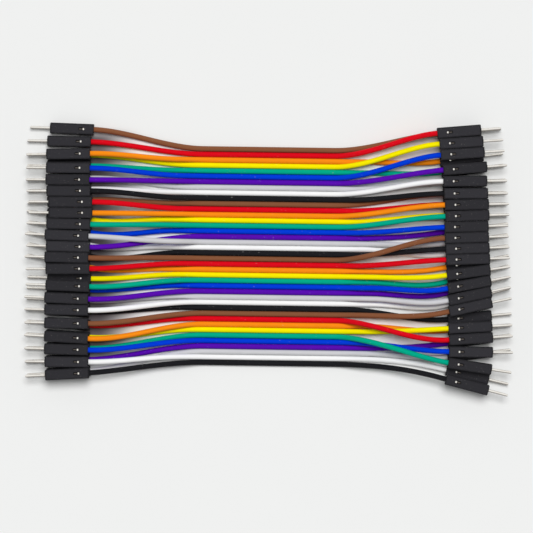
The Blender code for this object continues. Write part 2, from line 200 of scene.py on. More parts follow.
# Stage: the photograph's width in pixels and its scale in pixels a millimetre, then camera, floor and light
PHOTO_WIDTH, PHOTO_SCALE = 533, 4.3
SENSOR_WIDTH = 36.0
VIEW_END = 20.0
FLOOR_HALF = 3.0
SUN_ANGLE = 30
SUN_TURN = (-17, 0, -12)
SKY_TINT = (0.985, 0.995, 1.0)
SEEN_WHITE = (0.95, 0.955, 0.96)


# Settings


def length(name, description, default):
    """A length as a setting, in metres."""
    return FloatProperty(name=name, description=description, default=default, unit="LENGTH", precision=6)


def colour(name, description, default):
    """A linear colour as a setting."""
    return FloatVectorProperty(
        name=name, description=description, default=default, subtype="COLOR", min=0.0, max=1.0
    )


class JUMPER_PG_wires(bpy.types.PropertyGroup):
    """Sizes of the insulated wires and of their course."""

    diameter: length("Diameter", "Thickness of a wire over its insulation", 1.25 * MM)
    lane_pitch: length("Lane pitch", "Distance between neighbouring wires in the ribbon", 1.28 * MM)
    axis_height: length("Axis height", "Height of the axes of the bonded wires", 0.63 * MM)
    ribbon_half: length("Half ribbon", "Half the length of the bonded stretch", 14.0 * MM)
    ribbon_y: length("Ribbon centre", "How far the ribbon's middle lies towards +Y", 0.83 * MM)
    ribbon_slope: FloatProperty(name="Ribbon slope", description="Rise of y along the ribbon", default=-0.014)
    fan_length: length("Fan length", "Length along X from the ribbon to the housings", 27.3 * MM)
    crossing_rise: length("Crossing rise", "How high a wire climbs to pass over others", 3.97 * MM)
    early_rise: length("Early rise", "How high a wire of the upper layer climbs at first", 1.42 * MM)
    straight: length("Straight end", "Straight stretch before the housing", 0.7 * MM)
    insertion: length("Insertion", "How far the insulation goes into the housing", 1.2 * MM)
    fan_rings: IntProperty(name="Fan rings", description="Rings of a wire in one fan", default=26, min=8)
    sides: IntProperty(name="Sides", description="Sides of a wire's section", default=18, min=8)


class JUMPER_PG_housings(bpy.types.PropertyGroup):
    """Sizes of the moulded housings."""

    length: length("Length", "Length of a housing", 10.2 * MM)
    width: length("Width", "Width of a housing", 2.5 * MM)
    height: length("Height", "Height of a housing", 2.5 * MM)
    layer_gap: length("Layer gap", "Gap between the two layers of housings", 0.1 * MM)
    edge: length("Edge radius", "Rounding of the long edges", 0.13 * MM)
    nose: length("Nose chamfer", "Chamfer round the pin end", 0.2 * MM)
    socket: length("Socket", "Width of the square mouth that the wire goes into", 1.75 * MM)
    socket_depth: length("Socket depth", "Depth of that mouth", 1.6 * MM)
    window_length: length("Window length", "Length of the latch window", 1.5 * MM)
    window_width: length("Window width", "Width of the latch window", 0.72 * MM)
    window_depth: length("Window depth", "Depth of the latch window", 0.62 * MM)
    window_place: length("Window place", "From the wire end to the window's middle", 2.85 * MM)


class JUMPER_PG_contacts(bpy.types.PropertyGroup):
    """Sizes of the rolled contacts."""

    pin_side: length("Pin side", "Thickness of the square pin", 0.64 * MM)
    pin_length: length("Pin length", "How far the pin stands out", 4.7 * MM)
    pin_root: length("Pin root", "How far the pin goes back into the housing", 0.9 * MM)
    tip_length: length("Tip length", "Length of the rounded tip", 0.5 * MM)
    seam_depth: length("Seam depth", "Depth of the seam where the sheet meets", 0.09 * MM)
    lug: length("Lug", "Length of the bright lug in the latch window", 0.5 * MM)
    sheet: length("Sheet", "Thickness of the contact's sheet", 0.12 * MM)


class JUMPER_PG_finishes(bpy.types.PropertyGroup):
    """Colours of the insulation, the housings and the metal."""

    brown: colour("Brown", "Brown insulation", (0.235, 0.088, 0.04))
    red: colour("Red", "Red insulation", (0.72, 0.003, 0.012))
    orange: colour("Orange", "Orange insulation", (1.0, 0.27, 0.008))
    yellow: colour("Yellow", "Yellow insulation", (1.0, 0.85, 0.0))
    green: colour("Green", "Green insulation", (0.0, 0.4, 0.25))
    blue: colour("Blue", "Blue insulation", (0.0, 0.045, 0.68))
    purple: colour("Purple", "Purple insulation", (0.1, 0.004, 0.42))
    grey: colour("Grey", "Grey insulation", (0.62, 0.62, 0.64))
    white: colour("White", "White insulation", (0.97, 0.97, 0.97))
    black: colour("Black", "Black insulation", (0.01, 0.01, 0.012))
    housing: colour("Housing", "Moulded housing", (0.027, 0.0262, 0.0305))
    metal: colour("Metal", "Nickel-plated sheet", (0.93, 0.9, 0.84))
    floor: colour("Floor", "Pale surface below the leads", (0.852, 0.856, 0.848))


class JUMPER_PG_stage(bpy.types.PropertyGroup):
    """Camera and light."""

    distance: length("Camera distance", "From the camera to the plugs' top faces", 0.9)
    field: length("Field", "Width of the picture at the plugs' top faces", PHOTO_WIDTH / PHOTO_SCALE * MM)
    aim_x: length("Aim X", "Where the camera looks, along X", -0.47276 * MM)
    aim_y: length("Aim Y", "Where the camera looks, along Y", -1.72561 * MM)
    ambient: FloatProperty(name="Ambient", description="Strength of the light from all round", default=0.3)
    key: FloatProperty(name="Key light", description="Strength of the soft light", default=2.39)


class JUMPER_PG_ribbon(bpy.types.PropertyGroup):
    """All settings of the ribbon of jumper leads."""

    wires: PointerProperty(type=JUMPER_PG_wires)
    housings: PointerProperty(type=JUMPER_PG_housings)
    contacts: PointerProperty(type=JUMPER_PG_contacts)
    finishes: PointerProperty(type=JUMPER_PG_finishes)
    stage: PointerProperty(type=JUMPER_PG_stage)


# Where the plugs lie and how the wires run


class Plug:
    """Place, direction and height of one housing."""

    def __init__(self, place, side, sizes):
        _colour, left_end, right_end = LEADS[place]
        layer, stand_out, pin_y, wire_y = left_end if side == LEFT else right_end
        outward = 1.0 if side == RIGHT else -1.0
        long = sizes.housings.length
        drift = (pin_y - wire_y) * MM
        reach = math.sqrt(long**2 - drift**2) * outward
        pin_x = (sizes.wires.ribbon_half + sizes.wires.fan_length + long + stand_out * MM) * outward
        self.on_top = layer == UPPER
        self.direction = np.array([reach, drift]) / long
        self.pin_end = np.array([pin_x, pin_y * MM])
        self.wire_end = self.pin_end - np.array([reach, drift])
        height = sizes.housings.height
        self.z = height / 2 + (height + sizes.housings.layer_gap if self.on_top else 0.0)

    def plan_corners(self, sizes):
        """The plan corners of the housing and of the pin's tip."""
        across = np.array([-self.direction[1], self.direction[0]])
        tip = self.pin_end + self.direction * sizes.contacts.pin_length
        half, half_tip = sizes.housings.width / 2, sizes.contacts.pin_side * SOLID_TIP_SCALE / 2
        ends = ((self.pin_end, half), (self.wire_end, half), (tip, half_tip))
        return [end + across * sign * reach for end, reach in ends for sign in (-1, 1)]

    def placed(self, points):
        """Points from the plug's own frame, pin end at the origin and pin along +X, brought to its place."""
        turn = np.array([[self.direction[0], -self.direction[1]], [self.direction[1], self.direction[0]]])
        plan = points[:, :2] @ turn.T + self.pin_end
        return np.column_stack([plan, points[:, 2] + self.z])


def all_plugs(sizes):
    """All plugs by side and place, centred in plan as the solid model is, and the shift that centres them."""
    plugs = {(side, place): Plug(place, side, sizes) for side in (LEFT, RIGHT) for place in range(len(LEADS))}
    corners = np.array([corner for plug in plugs.values() for corner in plug.plan_corners(sizes)])
    shift = -(corners.min(axis=0) + corners.max(axis=0)) / 2
    for plug in plugs.values():
        plug.pin_end = plug.pin_end + shift
        plug.wire_end = plug.wire_end + shift
    return plugs, shift


def climb(shares, stretch):
    """Share climbed at each share of the way: 6t^5 - 15t^4 + 10t^3 over the stretch, and level outside it."""
    start, end = stretch
    t = np.clip((shares - start) / (end - start), 0.0, 1.0)
    return t**3 * (t * (6 * t - 15) + 10)


def lane_y(place, x, shift, wires):
    """y of a wire's lane in the ribbon, and straight on beyond it: a line of one slope through its middle."""
    middle = (len(LEADS) - 1) / 2
    lane = wires.ribbon_y + shift[1] + (middle - place) * wires.lane_pitch
    return lane + wires.ribbon_slope * (x - shift[0])


def fan_line(place, side, plug, shift, wires):
    """Line of a wire from the end of the ribbon into its socket.

    x grows evenly. y follows the lane, and over the turn's share of the way a cubic that adds the way across
    to the plug and ends with the plug's slope and a lean. z climbs from the floor to the plug's axis, over a
    neighbour's back where it crosses.
    """
    sign = 1.0 if side == RIGHT else -1.0
    shares = np.linspace(0.0, 1.0, wires.fan_rings)
    start_x = sign * wires.ribbon_half + shift[0]
    end = plug.wire_end - plug.direction * wires.straight
    x = start_x + (end[0] - start_x) * shares
    across = end[1] - lane_y(place, end[0], shift, wires)
    way = end[0] - start_x
    turn = min(1 - TURN_START, LEAST_TURN + TURN_GROWTH * abs(across / way))
    t = np.clip((shares - (1 - turn)) / turn, 0.0, 1.0)
    slope = plug.direction[1] / plug.direction[0] - wires.ribbon_slope
    end_slope = slope * way * turn + EXIT_LEAN * across
    y = lane_y(place, x, shift, wires) + across * (3 * t**2 - 2 * t**3) + end_slope * (t**3 - t**2)
    rise = plug.z - wires.axis_height
    if (side, place) in CROSSES_OVER:
        top = wires.crossing_rise
        z = top * climb(shares, CROSSING_CLIMB) + (rise - top) * climb(shares, CROSSING_DESCENT)
    elif plug.on_top:
        early = wires.early_rise
        z = early * climb(shares, EARLY_CLIMB) + (rise - early) * climb(shares, UPPER_CLIMB)
    else:
        z = rise * climb(shares, LOWER_CLIMB)
    fan = np.column_stack([x, y, wires.axis_height + z])
    stops = [plug.wire_end - plug.direction * wires.straight * 0.5, plug.wire_end]
    stops.append(plug.wire_end + plug.direction * wires.insertion)
    return np.vstack([fan, np.column_stack([stops, [plug.z] * len(stops)])])


def wire_line(place, plugs, shift, wires):
    """Line of a whole wire, from inside its left socket to inside its right one."""
    left = fan_line(place, LEFT, plugs[LEFT, place], shift, wires)[::-1]
    right = fan_line(place, RIGHT, plugs[RIGHT, place], shift, wires)
    middle = np.linspace(left[-1], right[0], RIBBON_RINGS)[1:-1]
    return np.vstack([left, middle, right])


# Surfaces


def closed_grid(rows, columns):
    """Quads between rows of points, each row a closed ring, with a flat face over both end rings."""
    i, j = np.meshgrid(np.arange(rows - 1), np.arange(columns), indexing="ij")
    k = (j + 1) % columns
    row, following = i * columns, (i + 1) * columns
    quads = np.stack([row + j, row + k, following + k, following + j], axis=-1)
    start = np.arange(columns)[::-1]
    end = (rows - 1) * columns + np.arange(columns)
    return quads.reshape(-1, 4).tolist() + [start.tolist(), end.tolist()]


def tube(line, radius, sides):
    """Round tube: each point is line + radius * (cos a * side + sin a * up), a once round the section."""
    tangent = np.gradient(line, axis=0)
    tangent /= np.linalg.norm(tangent, axis=1)[:, None]
    side = np.cross([0.0, 0.0, 1.0], tangent)
    side /= np.linalg.norm(side, axis=1)[:, None]
    up = np.cross(tangent, side)
    angle = np.linspace(0.0, 2 * np.pi, sides, endpoint=False)
    round_ = np.cos(angle)[None, :, None] * side[:, None] + np.sin(angle)[None, :, None] * up[:, None]
    points = line[:, None] + radius * round_
    return points.reshape(-1, 3), closed_grid(len(line), sides)


def tube_uv(line, sides, start):
    """For each corner of the tube's faces, millimetres along the line from start, and the share round it."""
    along = np.concatenate([[0.0], np.cumsum(np.linalg.norm(np.diff(line, axis=0), axis=1))]) / MM + start
    i, j = np.meshgrid(np.arange(len(line) - 1), np.arange(sides), indexing="ij")
    u = np.stack([along[i], along[i], along[i + 1], along[i + 1]], axis=-1)
    v = np.stack([j, j + 1, j + 1, j], axis=-1) / sides
    quads = np.stack([u, v], axis=-1).reshape(-1, 2)
    caps = [np.column_stack([np.full(sides, along[at]), np.arange(sides) / sides]) for at in (0, -1)]
    return np.vstack([quads, *caps])


def rounded_square(half_width, half_height, radius, notch, dip):
    """Ring of points round a square section, in y and z.

    Each corner is an arc, and each side has two more points just inside its corners. The top side also has
    the four points of a notch that is notch wide to each side and dips by dip.
    """
    arc = np.linspace(0.0, np.pi / 2, 4)
    inner = 0.75 * (min(half_width, half_height) - radius)
    ring = []
    for quarter, (sign_y, sign_z) in enumerate(((1, 1), (-1, 1), (-1, -1), (1, -1))):
        angle = arc + quarter * np.pi / 2
        centre = np.array([sign_y * (half_width - radius), sign_z * (half_height - radius)])
        before = np.array([half_width, inner]), np.array([-inner, half_height])
        before += np.array([-half_width, -inner]), np.array([inner, -half_height])
        after = np.array([inner, half_height]), np.array([-half_width, inner])
        after += np.array([-inner, -half_height]), np.array([half_width, -inner])
        ring.append(before[quarter][None])
        ring.append(centre + radius * np.column_stack([np.cos(angle), np.sin(angle)]))
        ring.append(after[quarter][None])
        if quarter == 0:
            low = half_height - dip
            ring.append(
                np.array([[notch, half_height], [notch, low], [-notch, low], [-notch, half_height]])
            )
    return np.vstack(ring)


def housing_surface(sizes):
    """Moulded housing in its own frame, and how near each point is to an edge.

    Rounded squares are carried from the floor of the wire's socket out to its mouth, round the rear edge,
    along the body past the latch window, and over the chamfered nose to a low collar round the pin. Each
    station is its x, how far its section outgrows the body's, its corner radius, how open the latch window
    is there, and 1 where it lies on an edge.
    """
    half, half_height, edge = sizes.width / 2, sizes.height / 2, sizes.edge
    mouth, rear = sizes.socket / 2, -sizes.length
    lip, nose = MOUTH_LIP, sizes.nose
    inner, bend, outer = MOUTH_CORNERS
    middle, reach = rear + sizes.window_place, sizes.window_length / 2
    stations = [
        (rear + sizes.socket_depth, mouth - half, inner, 0, 0),
        (rear + lip, mouth - half, inner, 0, 0),
        (rear + 0.3 * lip, mouth - half + 0.3 * lip, bend, 0, 1),
        (rear, mouth - half + lip, outer, 0, 1),
        (rear, -0.9 * lip, edge, 0, 1),
        (rear + 0.3 * lip, -0.25 * lip, edge, 0, 1),
        (rear + 0.9 * lip, 0.0, edge, 0, 1),
        (rear + REAR_MARGIN, 0.0, edge, 0, 0),
    ]
    for share in WINDOW_SHARES:
        open_ = (1 - abs(share) ** WINDOW_EXPONENT) ** (1 / WINDOW_EXPONENT)
        stations.append((middle + reach * share, 0.0, edge, open_, 0))
    stations += [
        (-nose - NOSE_MARGIN, 0.0, edge, 0, 0),
        (-nose, 0.0, edge, 0, 1),
        (-0.75 * nose, -0.12 * nose, edge, 0, 1),
        (-0.12 * nose, -0.75 * nose, edge, 0, 1),
        (0.0, -nose, edge, 0, 1),
        (0.0, COLLAR_FOOT - half, edge, 0, 0),
        (COLLAR_HEIGHT, COLLAR_TOP - half, edge, 0, 1),
        (COLLAR_HEIGHT, COLLAR_HOLE - half, COLLAR_HOLE_CORNER, 0, 0),
    ]
    rings, edges = [], []
    for x, grow, radius, open_, on_edge in stations:
        notch = open_ * sizes.window_width / 2
        dip = sizes.window_depth if open_ > 0 else 0.0
        ring = rounded_square(half + grow, half_height + grow, radius, notch, dip)
        rings.append(np.column_stack([np.full(len(ring), x), ring]))
        corner = (np.abs(np.abs(ring) - half) < 2 * edge).all(axis=1)
        edges.append(np.maximum(corner, on_edge).astype(float))
    return np.vstack(rings), closed_grid(len(rings), len(rings[0])), np.concatenate(edges)


def pin_surface(sizes, seam_side):
    """Rolled pin: a superellipse with a seam let into its top, shrinking to a rounded tip.

    Also gives how dark each point is made: fully in the seam, where it is tarnish, and much on the two
    flanks, where it is painted shade.
    """
    angle = np.linspace(0.0, 2 * np.pi, PIN_SIDES, endpoint=False)
    cosine, sine = np.cos(angle), np.sin(angle)
    bulge = (np.abs(cosine) ** PIN_EXPONENT + np.abs(sine) ** PIN_EXPONENT) ** (-1 / PIN_EXPONENT)
    seam_angle = np.pi / 2 + seam_side * SEAM_TURN
    seam = np.exp(-(((angle - seam_angle) / SEAM_WIDTH) ** 2))
    radius = sizes.pin_side / 2 * bulge - sizes.seam_depth * seam
    shares = np.array(TIP_SHARES)
    tip = sizes.pin_length - sizes.tip_length
    x = np.concatenate([[-sizes.pin_root, 0.1 * MM, 0.4 * tip, 0.8 * tip], tip + shares * sizes.tip_length])
    rounding = TIP_SCALE + (1 - TIP_SCALE) * np.sqrt(1 - shares**TIP_EXPONENT)
    scale = np.concatenate([np.ones(len(x) - len(shares)), rounding])
    y = scale[:, None] * radius * cosine
    z = scale[:, None] * radius * sine
    points = np.stack([np.broadcast_to(x[:, None], y.shape), y, z], axis=-1).reshape(-1, 3)
    across = -seam_side * bulge * cosine
    # Painted shade: the two flanks are darkened by how far they turn from the top
    shaded = 0.9 * np.clip((across - 0.45) * 4, 0, 1) + 0.35 * np.clip((-across - 0.55) * 3, 0, 1)
    tarnish_and_shade = np.broadcast_to(np.maximum(seam, shaded), y.shape).reshape(-1)
    return points, closed_grid(len(x), len(angle)), tarnish_and_shade


def latch_surface(housings, contacts):
    """Sheet of the contact in the latch window: a narrow band on its floor, with a lug turned up at its end.

    The band's middle line rises as a smooth step towards the wire, and each section is a rounded square. Also
    gives how much painted shade each point has: full on the band down in the window, none on the lug.
    """
    middle = -housings.length + housings.window_place
    reach = 0.46 * housings.window_length
    share = np.linspace(-1.0, 1.0, LATCH_RINGS)
    lug_share = 1 - contacts.lug / reach
    lift = climb(share, (lug_share - 0.15, lug_share + 0.2))
    floor = housings.height / 2 - housings.window_depth
    height = floor + contacts.sheet + lift * (housings.window_depth - 2.2 * contacts.sheet)
    half_width = BAND_HALF_WIDTH + LUG_HALF_GROWTH * lift
    close = np.clip((1 - np.abs(share)) * 8, 0.3, 1.0)
    rings = []
    for x, z, half, ease in zip(middle - reach * share, height, half_width, close):
        ring = rounded_square(half * ease, contacts.sheet * ease, LATCH_CORNER * ease, 0.0, 0.0)
        rings.append(np.column_stack([np.full(len(ring), x), ring[:, 0], ring[:, 1] + z]))
    # Painted shade: the band down in the latch window is darkened, and the lug is left bright
    tarnish_and_shade = np.repeat(1 - lift[::-1], len(rings[0]))
    return np.vstack(rings[::-1]), closed_grid(len(rings), len(rings[0])), tarnish_and_shade


def crimp_surface(housings, contacts, wire_radius):
    """Crimp round the insulation inside the socket: a sleeve swept out and back along the wire's axis."""
    angle = np.linspace(0.0, 2 * np.pi, CRIMP_SIDES, endpoint=False)
    inner = wire_radius + CRIMP_CLEARANCE
    outer = inner + contacts.sheet
    loop = [(CRIMP_FRONT, inner), (CRIMP_REAR, inner), (CRIMP_LIP, (inner + outer) / 2)]
    loop += [(CRIMP_REAR, outer), (CRIMP_FRONT, outer)]
    x = np.array([at - housings.length for at, _radius in loop])
    radius = np.array([size for _at, size in loop])
    y, z = radius[:, None] * np.cos(angle), radius[:, None] * np.sin(angle)
    points = np.stack([np.broadcast_to(x[:, None], y.shape), y, z], axis=-1).reshape(-1, 3)
    faces = closed_grid(len(x), len(angle))[:-2]
    first = np.arange(CRIMP_SIDES)
    last = (len(x) - 1) * CRIMP_SIDES + first
    back = np.stack([last, np.roll(last, -1), np.roll(first, -1), first], axis=-1)
    return points, faces + back.tolist()


def gathered(pieces):
    """Several surfaces as one: their points under each other, and their faces numbered on."""
    points, faces, marks = [], [], []
    count = 0
    for some_points, some_faces, some_marks in pieces:
        points.append(some_points)
        marks.append(some_marks)
        faces += [[index + count for index in face] for face in some_faces]
        count += len(some_points)
    return np.vstack(points), faces, np.concatenate(marks)


def add_piece(name, points, faces, material, marks=None, sharp=None):
    """New object of a surface, at the origin.

    marks are values for each point by name, and edges that turn by more than sharp degrees stay sharp.
    """
    mesh = bpy.data.meshes.new(name)
    mesh.from_pydata(points, [], faces)
    for mark, values in (marks or {}).items():
        mesh.attributes.new(mark, "FLOAT", "POINT").data.foreach_set("value", values.astype(np.float32))
    mesh.materials.append(material)
    piece = bpy.data.objects.new(name, mesh)
    bpy.context.scene.collection.objects.link(piece)
    if sharp is not None:
        bm = bmesh.new()
        bm.from_mesh(mesh)
        bmesh.ops.remove_doubles(bm, verts=bm.verts, dist=1e-7)
        bm.to_mesh(mesh)
        bm.free()
        mesh.shade_smooth()
        mesh.set_sharp_from_angle(angle=math.radians(sharp))
    else:
        mesh.shade_smooth()
    return piece


# Materials


class Value:
    """A shader socket on which sums and products can be written."""

    def __init__(self, shading, socket):
        self.shading, self.socket = shading, socket

    def joined(self, operation, first, second):
        return self.shading.node("ShaderNodeMath", {"operation": operation}, {0: first, 1: second})

    def __add__(self, other):
        return self.joined("ADD", self, other)

    def __sub__(self, other):
        return self.joined("SUBTRACT", self, other)

    def __rsub__(self, other):
        return self.joined("SUBTRACT", other, self)

    def __mul__(self, other):
        return self.joined("MULTIPLY", self, other)

    __radd__, __rmul__ = __add__, __mul__


class Shading:
    """A material on a Principled shader, and the nodes that feed it."""

    def __init__(self, name):
        self.material = bpy.data.materials.new(name)
        self.material.use_nodes = True
        self.tree = self.material.node_tree
        self.principled = self.tree.nodes["Principled BSDF"]

    def feed(self, socket, value):
        if isinstance(value, Value):
            self.tree.links.new(value.socket, socket)
        elif isinstance(value, tuple) and len(value) == 3 and len(socket.default_value) == 4:
            socket.default_value = (*value, 1.0)
        else:
            socket.default_value = value

    def node(self, kind, settings=None, inputs=None, output=0):
        """A node of a kind with its settings made first, then its sockets fed, as the value it gives."""
        node = self.tree.nodes.new(kind)
        for name, setting in (settings or {}).items():
            if name == "stops":
                ramp = node.color_ramp.elements
                for element, (place, shade) in zip(ramp, setting):
                    element.position, element.color = place, (shade, shade, shade, 1.0)
            else:
                setattr(node, name, setting)
        for socket, value in (inputs or {}).items():
            self.feed(node.inputs[socket], value)
        return Value(self, node.outputs[output])

    def set(self, **values):
        for name, value in values.items():
            self.feed(self.principled.inputs[name.replace("_", " ")], value)

    def mix(self, factor, first, second):
        """Colour between two colours."""
        settings = {"data_type": "RGBA", "clamp_factor": True}
        return self.node("ShaderNodeMix", settings, {0: factor, 6: first, 7: second}, output=2)

    def ramp(self, value, low, high):
        """0 below low, 1 above high and even between them."""
        return self.node("ShaderNodeValToRGB", {"stops": ((low, 0.0), (high, 1.0))}, {0: value})

    def noise(self, vector, scale, detail=3.0, rough=0.55):
        inputs = {"Vector": vector, "Scale": scale, "Detail": detail, "Roughness": rough}
        return self.node("ShaderNodeTexNoise", None, inputs)

    def place(self):
        """Object coordinates, in metres."""
        return self.node("ShaderNodeTexCoord", None, None, output=3)

    def stretched(self, vector, factors):
        return self.node("ShaderNodeVectorMath", {"operation": "MULTIPLY"}, {0: vector, 1: factors})

    def between(self, value, low, high):
        """0 at low, 1 at high and a smooth step between them; low can be the greater one."""
        settings = {"interpolation_type": "SMOOTHSTEP"}
        return self.node("ShaderNodeMapRange", settings, {0: value, 1: low, 2: high})

    def within(self, value, places):
        """1 between the middle two of four places, 0 beyond the outer two, and smooth steps between."""
        begins, full, last_full, ends = places
        return self.between(value, begins, full) * self.between(value, ends, last_full)

    def uv(self, name):
        return self.node("ShaderNodeUVMap", {"uv_map": name})

    def mark(self, name):
        return self.node("ShaderNodeAttribute", {"attribute_name": name}, None, output=2)

    def bump(self, height, strength, distance):
        inputs = {"Height": height, "Strength": strength, "Distance": distance}
        normal = self.node("ShaderNodeBump", None, inputs)
        self.set(Normal=normal)


def times(shade, factor):
    return tuple(min(1.0, part * factor) for part in shade)


def towards(shade, other, share):
    return tuple(a + (b - a) * share for a, b in zip(shade, other))


def insulation(name, shade, gloss):
    """Soft insulation: faint streaks along the wire, a dull skin with rubbed patches, and specks of dust.

    Its pattern follows the wire: millimetres along it and the share round it.
    """
    s = Shading(name)
    line = s.uv("along")
    streaks = s.noise(s.stretched(line, (0.22, 5.0, 1.0)), 1.0, 4.0, 0.6)
    patches = s.noise(s.stretched(line, (0.35, 2.0, 1.0)), 1.0, 2.0)
    specks = s.noise(s.stretched(line, (1.9, 9.0, 1.0)), 1.0, 1.0, 0.4)
    dust = s.ramp(specks, 0.7, 0.76) * s.ramp(patches, 0.42, 0.62)
    body = s.mix(streaks, times(shade, 0.86), times(shade, 1.08))
    dusty = towards(shade, WIRE_DUST, 0.25)
    s.set(Base_Color=s.mix(dust * 0.6, body, dusty))
    s.set(Roughness=0.3 + patches * 0.22 + dust * 0.2)
    s.set(Specular_IOR_Level=gloss)
    ripple = s.noise(s.stretched(line, (0.9, 1.5, 1.0)), 1.0, 3.0)
    s.bump(ripple + dust * 0.4, 0.35, 0.05 * MM)
    return s.material


def moulding(name, shade):
    """Matt charcoal moulding: fine grain, faint flow marks, painted shade along the edges with rubbed spots,
    and dust.

    Each housing has a tone of its own.
    """
    s = Shading(name)
    place = s.place()
    grain = s.noise(place, 9000.0, 2.0)
    flow = s.noise(s.stretched(place, (260.0, 1500.0, 1500.0)), 1.0, 3.0)
    scratches = s.noise(s.stretched(place, (900.0, 9000.0, 9000.0)), 1.0, 2.0)
    specks = s.noise(place, 3800.0, 1.0, 0.3)
    dust = s.ramp(specks, 0.72, 0.78)
    edge = s.mark("edge")
    rubbed = edge * s.ramp(scratches, 0.5, 0.7)
    tone = s.mark("tone")
    body = s.mix(tone, times(shade, 0.55), times(shade, 1.25))
    body = s.mix(flow * 0.4, body, times(shade, 0.7))
    body = s.mix(s.ramp(scratches, 0.66, 0.74) * 0.35, body, times(shade, 2.2))
    # Painted shade: each housing's edges are darkened, as shadow in the gaps between neighbouring housings
    body = s.mix(edge * 0.75, body, times(shade, 0.25))
    body = s.mix(rubbed * 0.3, body, times(shade, 2.2))
    s.set(Base_Color=s.mix(dust * 0.35, body, HOUSING_DUST))
    s.set(Roughness=0.5 + grain * 0.16 + dust * 0.1 - rubbed * 0.08)
    s.set(Specular_IOR_Level=0.15)
    s.bump(grain + scratches * 0.5, 0.3, 0.012 * MM)
    return s.material


def nickel(name, shade):
    """Bare nickel-plated sheet: drawing lines along the pin, warm tarnish in its seam, painted shade on the
    pins' flanks and the latch band, and dull spots.
    """
    s = Shading(name)
    place = s.place()
    lines = s.noise(s.stretched(place, (500.0, 9000.0, 9000.0)), 1.0, 3.0)
    spots = s.noise(place, 1300.0, 3.0)
    # This mark is tarnish in the seam, and painted shade on the pins' flanks and on the band in the latch
    # window
    seam = s.mark("edge")
    body = s.mix(lines, times(shade, 0.86), times(shade, 1.04))
    body = s.mix(s.ramp(spots, 0.5, 0.75) * 0.4, body, DULL_METAL)
    s.set(Base_Color=s.mix(seam * 0.9, body, TARNISH_AND_SHADE))
    s.set(Metallic=1.0, Roughness=0.22 + lines * 0.12 + s.ramp(spots, 0.5, 0.75) * 0.14)
    s.bump(lines, 0.25, 0.008 * MM)
    return s.material


def paper(name, shade):
    """Pale matt surface with the faintest mottling, and a painted shadow between the fanned wires near the
    housings.
    """
    s = Shading(name)
    place = s.place()
    mottle = s.noise(place, 60.0, 2.0)
    x, y = (s.node("ShaderNodeSeparateXYZ", None, {0: place}, output=axis) for axis in (0, 1))
    left, right = s.within(x, LEFT_PAINTED_SHADE), s.within(x, RIGHT_PAINTED_SHADE)
    across = s.within(y, PAINTED_SHADE_ACROSS)
    open_floor = s.mix(mottle, times(shade, 0.995), times(shade, 1.005))
    # Painted shadow: the floor is darkened between the fanned wires next to the housings
    painted_shade = across * (left * LEFT_SHADE_SHARE + right * RIGHT_SHADE_SHARE)
    s.set(Base_Color=s.mix(painted_shade, open_floor, PAINTED_SHADE_TINT))
    s.set(Roughness=0.9, Specular_IOR_Level=0.0)
    return s.material


# Operators


class JUMPER_OT_stage(bpy.types.Operator):
    """Sets up the pale floor, the light and the camera above the leads"""

    bl_idname = "jumper.stage"
    bl_label = "Stage"

    def execute(self, context):
        sizes = context.scene.jumper_ribbon
        stage, housings = sizes.stage, sizes.housings
        level = 2 * housings.height + housings.layer_gap
        camera = bpy.data.cameras.new("camera")
        camera.sensor_width = SENSOR_WIDTH
        camera.lens = SENSOR_WIDTH * stage.distance / stage.field
        camera.clip_end = VIEW_END
        holder = bpy.data.objects.new("camera", camera)
        holder.location = (stage.aim_x, stage.aim_y, level + stage.distance)
        context.scene.collection.objects.link(holder)
        context.scene.camera = holder
        context.scene.view_settings.view_transform = "Standard"
        self.add_light(context, stage)
        self.add_surroundings(context, stage)
        half = FLOOR_HALF
        corners = [(-half, -half, 0), (half, -half, 0), (half, half, 0), (-half, half, 0)]
        floor = add_piece("floor", corners, [(0, 1, 2, 3)], paper("floor", tuple(sizes.finishes.floor)))
        return {"FINISHED"}

    def add_light(self, context, stage):
        sun = bpy.data.lights.new("key", "SUN")
        sun.energy = stage.key
        sun.angle = math.radians(SUN_ANGLE)
        lamp = bpy.data.objects.new("key", sun)
        lamp.rotation_euler = tuple(math.radians(turn) for turn in SUN_TURN)
        lamp.visible_glossy = False
        context.scene.collection.objects.link(lamp)

    def add_surroundings(self, context, stage):
        """Even light from all round. What the camera, metal and gloss see of it is white."""
        world = bpy.data.worlds.new("surroundings")
        world.use_nodes = True
        context.scene.world = world
        nodes, links = world.node_tree.nodes, world.node_tree.links
        nodes.clear()
        output, shown = nodes.new("ShaderNodeOutputWorld"), nodes.new("ShaderNodeMixShader")
        light, white = nodes.new("ShaderNodeBackground"), nodes.new("ShaderNodeBackground")
        light.inputs[0].default_value = (*SKY_TINT, 1.0)
        light.inputs[1].default_value = stage.ambient
        white.inputs[0].default_value = (*SEEN_WHITE, 1.0)
        rays, seen = nodes.new("ShaderNodeLightPath"), []
        for _count in range(2):
            either = nodes.new("ShaderNodeMath")
            either.operation = "MAXIMUM"
            seen.append(either)
        links.new(rays.outputs["Is Camera Ray"], seen[0].inputs[0])
        links.new(rays.outputs["Is Glossy Ray"], seen[0].inputs[1])
        links.new(seen[0].outputs[0], seen[1].inputs[0])
        links.new(rays.outputs["Is Transmission Ray"], seen[1].inputs[1])
        links.new(seen[1].outputs[0], shown.inputs[0])
        links.new(light.outputs[0], shown.inputs[1])
        links.new(white.outputs[0], shown.inputs[2])
        links.new(shown.outputs[0], output.inputs[0])


